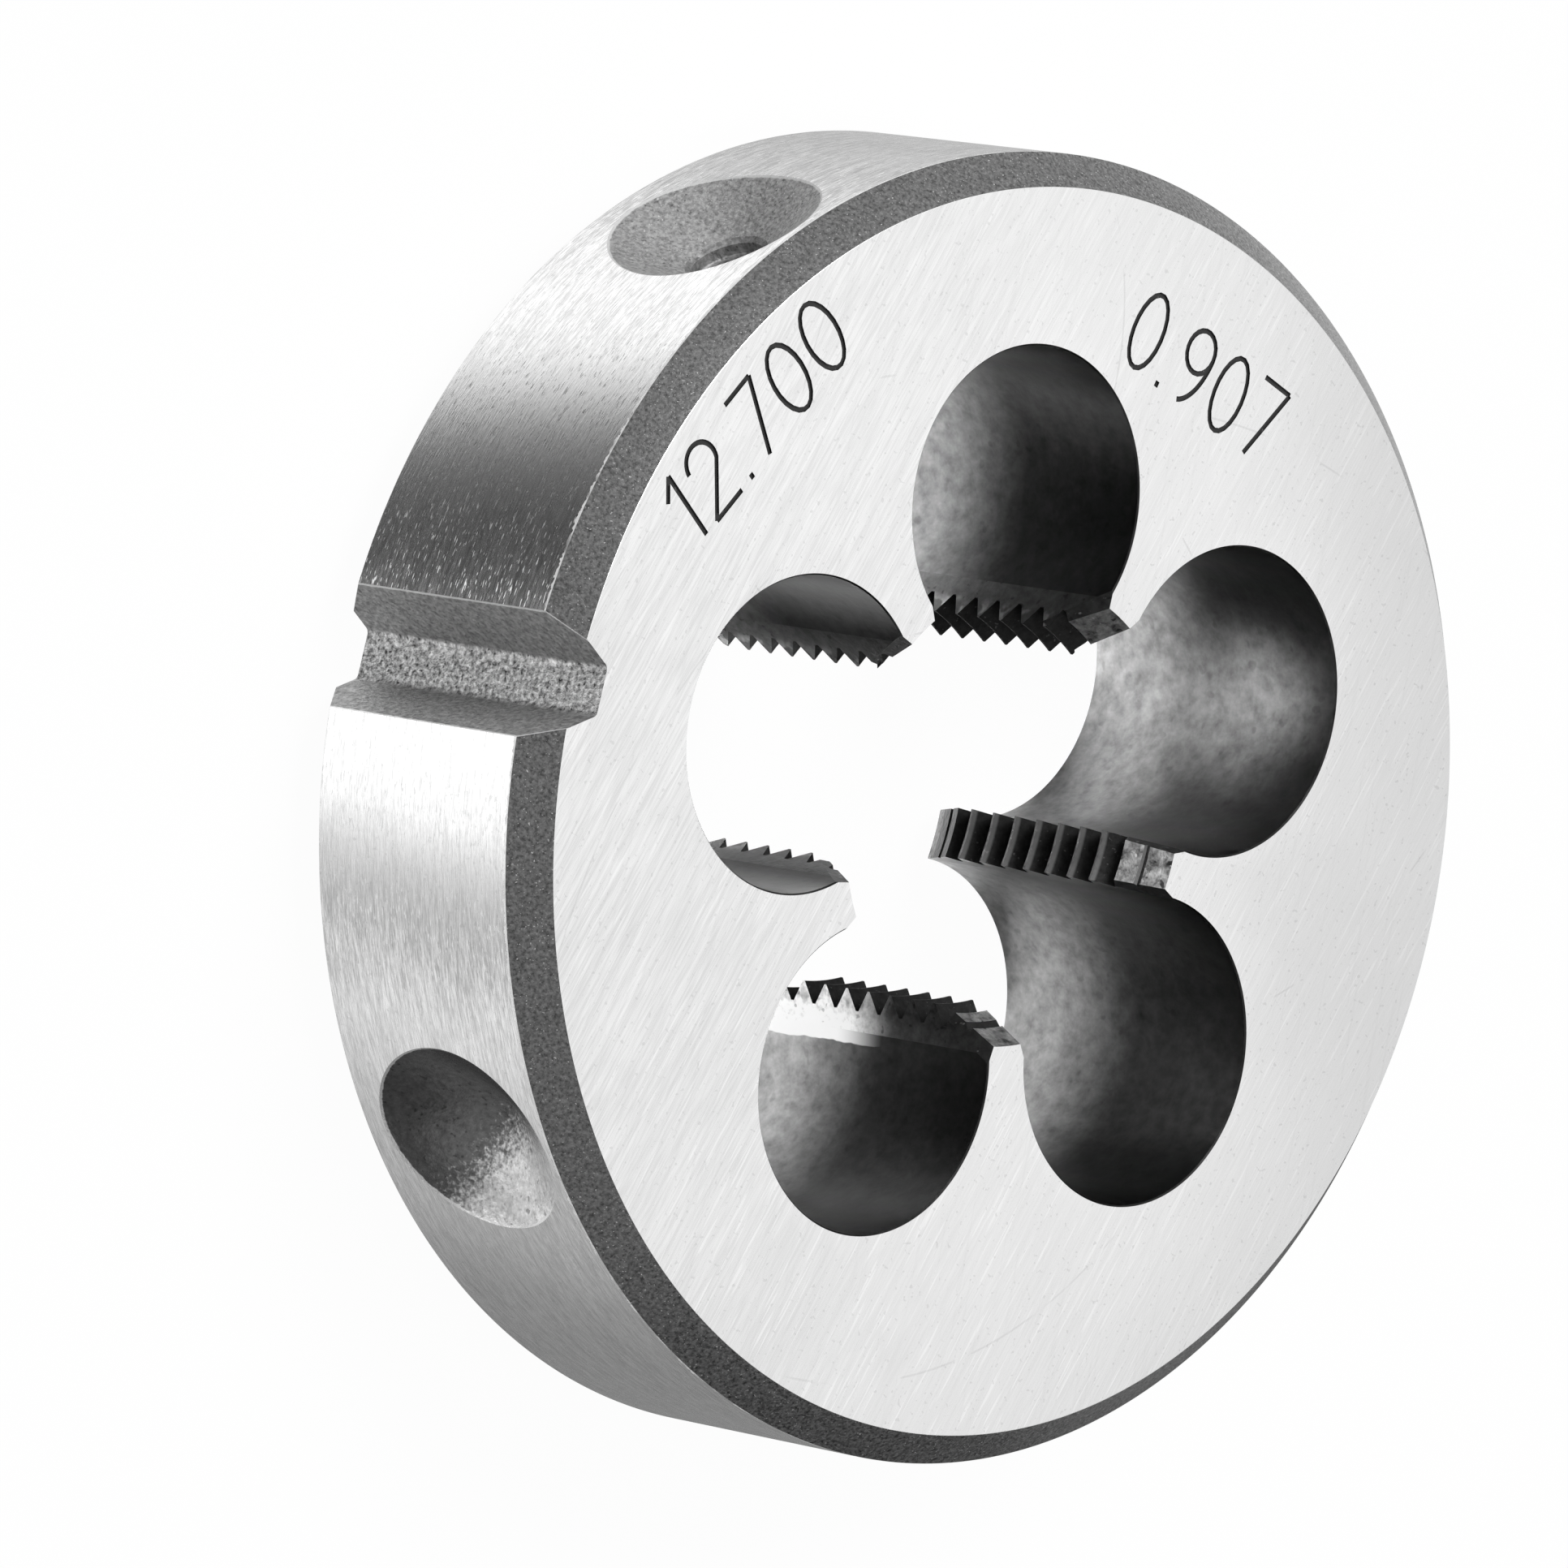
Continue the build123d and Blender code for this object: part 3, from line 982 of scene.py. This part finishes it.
def gash_cutter():
    """Tapered, so that the gash fades out at the crests."""
    closing = math.radians(GASH_CLOSING_ANGLE / 2)
    taper = math.tan(math.radians(GASH_TAPER))
    start_x = CREST_RADIUS * math.cos(half_step)
    start_y = flat_end.y - (flat_end.x - start_x) * math.tan(closing)
    flat_length = land_neck - math.sqrt(CREST_RADIUS**2 - (LAND_WIDTH / 2) ** 2)
    bite = flat_length * math.sin(half_step - closing)
    at_face = [
        (start_x, -start_y),
        (flat_end.x, -flat_end.y),
        (flat_end.x, flat_end.y),
        (start_x, start_y),
    ]
    above = inset(at_face, -OVERRUN * taper)
    return prism(
        inset(at_face, bite), above, THICKNESS - bite / taper, THICKNESS + OVERRUN, "gash cutter"
    )


def groove_cutter():
    slope = math.tan(math.radians(GROOVE_ANGLE / 2))
    floor = OUTER_RADIUS - GROOVE_DEPTH
    mouth = GROOVE_FLOOR_WIDTH / 2 + (GROOVE_DEPTH - EDGE_BREAK) * slope
    flare = mouth + (OVERRUN + EDGE_BREAK) * math.tan(math.radians(GROOVE_EDGE_ANGLE))
    outline = rounded(
        [
            (floor, -GROOVE_FLOOR_WIDTH / 2, GROOVE_CORNER_RADIUS),
            (OUTER_RADIUS - EDGE_BREAK, -mouth),
            (OUTER_RADIUS + OVERRUN, -flare),
            (OUTER_RADIUS + OVERRUN, flare),
            (OUTER_RADIUS - EDGE_BREAK, mouth),
            (floor, GROOVE_FLOOR_WIDTH / 2, GROOVE_CORNER_RADIUS),
        ],
        steps=8,
    )
    return prism(outline, outline, -OVERRUN, THICKNESS + OVERRUN, "groove cutter")


dimple_slope = math.tan(math.radians(DIMPLE_ANGLE / 2))
dimple_floor = OUTER_RADIUS - DIMPLE_RADIUS / dimple_slope


def dimple_cutter():
    outline = [
        (0, dimple_floor),
        (DIMPLE_RADIUS + OVERRUN * dimple_slope, OUTER_RADIUS + OVERRUN),
        (0, OUTER_RADIUS + OVERRUN),
    ]
    return turned_to_rim(spun(outline, CONE_STEPS, "dimple cutter"), DIMPLE_HEIGHT)


def drill_mark_cutter():
    edge = dimple_floor + DRILL_MARK_RADIUS / dimple_slope
    floor = edge - DRILL_MARK_DEPTH
    lip = edge - DRILL_MARK_LIP
    flare = OVERRUN / 2
    outline = rounded(
        [
            (0, floor),
            (DRILL_MARK_RADIUS, floor, DRILL_MARK_CORNER_RADIUS),
            (DRILL_MARK_RADIUS, lip),
            (DRILL_MARK_RADIUS + flare, lip + flare),
            (0, lip + flare),
        ]
    )
    return turned_to_rim(spun(outline, CONE_STEPS, "drill mark cutter"), DIMPLE_HEIGHT)


def bow(centre, across, up, start, end, steps=20):
    """Points of an elliptic arc, with its angles in degrees."""
    points = []
    for k in range(steps + 1):
        angle = math.radians(start + (end - start) * k / steps)
        points.append((centre[0] + across * math.cos(angle), centre[1] + up * math.sin(angle)))
    return points


def stroke(*points):
    """Line of a figure: its points, and that it stays open."""
    return points, False


def ring(centre, across, up):
    """Closed line of a figure: its points, and that the last one joins the first."""
    return bow(centre, across, up, 0, 342), True


# Single-line figures one unit high: the width, and the lines in two layers, so that lines which meet
# are engraved one after the other
FIGURES = {
    "0": (0.52, [ring((0.26, 0.5), 0.26, 0.5)], []),
    "1": (0.24, [stroke((0.22, 0.0), (0.22, 1.0))], [stroke((0.0, 0.74), (0.22, 1.0))]),
    "2": (
        0.54,
        [stroke(*bow((0.27, 0.73), 0.25, 0.27, 175, -25), (0.0, 0.0))],
        [stroke((0.0, 0.0), (0.54, 0.0))],
    ),
    "7": (0.52, [stroke((0.0, 1.0), (0.52, 1.0))], [stroke((0.52, 1.0), (0.16, 0.0))]),
    "9": (
        0.52,
        [ring((0.26, 0.72), 0.25, 0.28)],
        [stroke(*bow((0.1, 0.72), 0.41, 0.72, 0, -78))],
    ),
    ".": (0.04, [stroke((0.02, -0.03), (0.02, 0.05))], []),
}


def marks_curve(layer):
    """One layer of the lines of all marks, as a flat curve on the front face."""
    curve = bpy.data.curves.new("marks", "CURVE")
    curve.dimensions = "3D"
    gap = MARK_SPACING / 2
    for text, facing_angle, foot in MARKS:
        out = direction(facing_angle).to_2d()
        along = Vector((out.y, -out.x))
        length = sum(FIGURES[c][0] + gap for c in text) - gap
        start = -length / 2
        for character in text:
            width, *layers = FIGURES[character]
            for points, closed in layers[layer]:
                spline = curve.splines.new("POLY")
                spline.points.add(len(points) - 1)
                spline.use_cyclic_u = closed
                for point, (x, y) in zip(spline.points, points):
                    place = out * (foot + y * MARK_HEIGHT) + along * (start + x) * MARK_HEIGHT
                    point.co = (place.x, place.y, THICKNESS, 1)
            start += width + gap
    lines = bpy.data.objects.new("marks", curve)
    bpy.context.scene.collection.objects.link(lines)
    return lines


def machined_die():
    """Cuts the blank as the shop does, and returns it as one plain mesh in metres."""
    body = piece("die_body", blank_mesh(), BLANK_FINISHES)
    cut_round = cut_round_tree()
    cutters = []

    def cut(mesh, count, angle, finish):
        cutter = piece(mesh.name, mesh, [finish])
        cutters.append(cutter)
        values = {"Cutter": cutter, "Count": count, "Finish": finish}
        add_step(body, cut_round, {**values, "First Angle": math.radians(angle)})

    cut(groove_cutter(), 1, FIRST_CHIP_ANGLE + GROOVE_TURN, groove_finish())
    cut(dimple_cutter(), 2, FIRST_CHIP_ANGLE - DIMPLE_TURN, upper_dimple_finish())
    cut(dimple_cutter(), 2, FIRST_CHIP_ANGLE + DIMPLE_TURN, lower_dimple_finish())
    cut(drill_mark_cutter(), 1, FIRST_CHIP_ANGLE - DIMPLE_TURN, drill_mark_oxide)
    cut(chip_hole_cutter(), CHIP_HOLES, FIRST_CHIP_ANGLE, chip_hole_finish())
    cut(rake_cutter(), CHIP_HOLES, FIRST_CHIP_ANGLE, rake_finish())
    cut(gash_cutter(), CHIP_HOLES, FIRST_CHIP_ANGLE, gash_oxide)
    inner_radius = CREST_RADIUS - THREAD_OVERRUN
    flank_slope = math.tan(math.radians(FLANK_ANGLE / 2))
    thread = {
        "Pitch": PITCH,
        "Turns": math.ceil(THICKNESS / PITCH) + SPARE_TURNS,
        "Start Height": FIRST_ROOT_HEIGHT - PITCH,
        "Inner Radius": inner_radius,
        "Root Radius": ROOT_RADIUS,
        "Inner Width": ROOT_FLAT + 2 * (ROOT_RADIUS - inner_radius) * flank_slope,
        "Root Flat": ROOT_FLAT,
        "Steps": THREAD_STEPS,
        "Finish": thread_finish(),
    }
    add_step(body, cut_thread_tree(), thread)
    engrave = cut_lines_tree()
    for layer in (0, 1):
        lines = marks_curve(layer)
        cutters.append(lines)
        values = {"Lines": lines, "Width": MARK_LINE_WIDTH, "Depth": MARK_DEPTH}
        add_step(body, engrave, {**values, "Finish": etched_mark})
    add_step(body, to_metres_tree(), {"Scale": MM, "Finish": BLANK_FINISHES[FACE]})

    evaluated = body.evaluated_get(bpy.context.evaluated_depsgraph_get())
    mesh = bpy.data.meshes.new_from_object(evaluated)
    body.modifiers.clear()
    body.data = mesh
    mesh.shade_smooth()
    mesh.set_sharp_from_angle(angle=math.radians(SHARP_ANGLE))
    for cutter in cutters:
        bpy.data.objects.remove(cutter)
    return body


die = machined_die()
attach(die, "root")
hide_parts(NODE)


# Studio


def emission_material(name):
    """Material whose only shader is an emission. Returns its tree and the shader's node too."""
    material = bpy.data.materials.new(name)
    material.use_nodes = True
    tree = material.node_tree
    tree.nodes.remove(tree.nodes["Principled BSDF"])
    glow = add_node(tree, "ShaderNodeEmission")
    tree.links.new(glow.outputs[0], tree.nodes["Material Output"].inputs["Surface"])
    return material, tree, glow


def seen_directly(tree):
    """1 for what the camera sees, also mirrored or through glass, and 0 for other light."""
    path = tree.nodes.new("ShaderNodeLightPath").outputs
    seen = maths(tree, "MAXIMUM", path["Is Camera Ray"], path["Is Glossy Ray"])
    return maths(tree, "MAXIMUM", seen, path["Is Transmission Ray"])


def floor_material():
    """White floor that glows for the camera and the metal, and keeps a soft shadow."""
    material, tree, glow = emission_material("studio floor")
    paper = add_node(tree, "ShaderNodeBsdfDiffuse", {"Color": PAPER_COLOUR})
    share = maths(tree, "MULTIPLY", seen_directly(tree), FLOOR_GLOW)
    both = add_node(tree, "ShaderNodeMixShader", {0: share, 1: paper.outputs[0]})
    tree.links.new(glow.outputs[0], both.inputs[2])
    tree.links.new(both.outputs[0], tree.nodes["Material Output"].inputs["Surface"])
    return material


def add_floor():
    half = FLOOR_SIZE / 2
    corners = [(-half, -half, 0), (half, -half, 0), (half, half, 0), (-half, half, 0)]
    floor = piece("floor", mesh_of("floor", corners, [(0, 1, 2, 3)]), [floor_material()])
    floor.visible_glossy = False
    return floor


def only_for_metal(card):
    """A stage piece that is mirrored and nothing else."""
    card.visible_camera = False
    card.visible_diffuse = False
    card.visible_transmission = False
    card.visible_shadow = False


def add_paper():
    material = bpy.data.materials.new("paper")
    material.use_nodes = True
    inputs = material.node_tree.nodes["Principled BSDF"].inputs
    inputs["Base Color"].default_value = PAPER_COLOUR
    inputs["Roughness"].default_value = 1.0
    inputs["Specular IOR Level"].default_value = 0.0
    outline = circle(PAPER_RADIUS, PAPER_HEIGHT, STAGE_STEPS)
    paper = piece("paper", mesh_of("paper", outline, [range(STAGE_STEPS)]), [material])
    only_for_metal(paper)
    return paper


def add_card(name, azimuth, distance, half_width, foot, top, brightness):
    material, _, glow = emission_material(name)
    glow.inputs["Color"].default_value = (brightness, brightness, brightness, 1)
    sides = (-half_width, half_width)
    corners = [(x, 0, foot) for x in sides] + [(x, 0, top) for x in reversed(sides)]
    mesh = mesh_of(name, corners, [(0, 1, 2, 3)])
    away = Matrix.Translation(direction(azimuth) * distance * MM)
    mesh.transform(away @ Matrix.Rotation(math.radians(azimuth + 90), 4, "Z"))
    only_for_metal(piece(name, mesh, [material]))


def tent_material():
    material, tree, glow = emission_material("tent panels")
    parts = parts_of(tree, tree.nodes.new("ShaderNodeTexCoord").outputs["Object"])
    angle = maths(tree, "ARCTAN2", parts["Y"], parts["X"])
    turn = maths(tree, "FRACT", maths(tree, "DIVIDE", angle, 2 * math.pi))
    panels = tree.nodes.new("ShaderNodeValToRGB")
    tree.links.new(turn, panels.inputs[0])
    stops = panels.color_ramp.elements
    while len(stops) < len(TENT_PANELS):
        stops.new(0.5)
    for stop, (azimuth, brightness) in zip(stops, TENT_PANELS):
        stop.position = azimuth / 360
        stop.color = (brightness, brightness, brightness, 1)
    tree.links.new(panels.outputs[0], glow.inputs["Color"])
    return material


def add_tent():
    places = []
    for height in (TENT_BOTTOM, TENT_TOP):
        places += circle(TENT_RADIUS, height, STAGE_STEPS)
    faces = []
    for k in range(STAGE_STEPS):
        j = (k + 1) % STAGE_STEPS
        faces.append((k, k + STAGE_STEPS, j + STAGE_STEPS, j))
    only_for_metal(piece("tent", mesh_of("tent", places, faces), [tent_material()]))


def white_world():
    """White where the camera and the metal see it, and a plain level of light otherwise."""
    world = bpy.data.worlds.new("studio")
    bpy.context.scene.world = world
    world.use_nodes = True
    tree = world.node_tree
    shader = tree.nodes["Background"]
    shader.inputs["Color"].default_value = (1, 1, 1, 1)
    strength = maths(tree, "MULTIPLY_ADD", seen_directly(tree), 1 - ROOM_LIGHT, ROOM_LIGHT)
    tree.links.new(strength, shader.inputs["Strength"])


def softbox(name, azimuth, elevation, distance, size, power):
    """Area light that faces the die, in degrees and millimetres."""
    light = bpy.data.lights.new(name, "AREA")
    light.shape = "RECTANGLE"
    light.size, light.size_y = size[0] * MM, size[1] * MM
    light.energy = power
    lamp = bpy.data.objects.new(name, light)
    bpy.context.scene.collection.objects.link(lamp)
    away = direction(azimuth, elevation)
    lamp.location = away * distance * MM
    lamp.rotation_euler = away.to_track_quat("Z", "Y").to_euler()
    lamp.visible_camera = False
    return lamp


def light_only(lamp, lit):
    """Links a lamp to the pieces that it lights."""
    receivers = bpy.data.collections.new(f"lit by the {lamp.name}")
    for each in lit:
        receivers.objects.link(each)
    lamp.light_linking.receiver_collection = receivers


floor = add_floor()
paper = add_paper()
for card, place in CARDS.items():
    add_card(card, *place)
add_tent()
white_world()
light_only(softbox("key", *KEY_LAMP), [die, floor])
for name, light in PAPER_LAMPS.items():
    light_only(softbox(name, *light), [paper])


def add_camera():
    camera = bpy.data.cameras.new("camera")
    camera.lens = LENS
    camera.sensor_width = SENSOR
    camera.clip_start = 0.01
    holder = bpy.data.objects.new("camera", camera)
    bpy.context.scene.collection.objects.link(holder)
    back = -CAMERA_LINE.normalized()
    right = CAMERA_UP.cross(back).normalized()
    up = back.cross(right)
    place = Matrix((right, up, back)).transposed().to_4x4()
    place.translation = (CAMERA_AIM + back * CAMERA_DISTANCE) * MM
    holder.matrix_world = place
    bpy.context.scene.camera = holder


add_camera()
bpy.context.scene.view_settings.view_transform = "Standard"
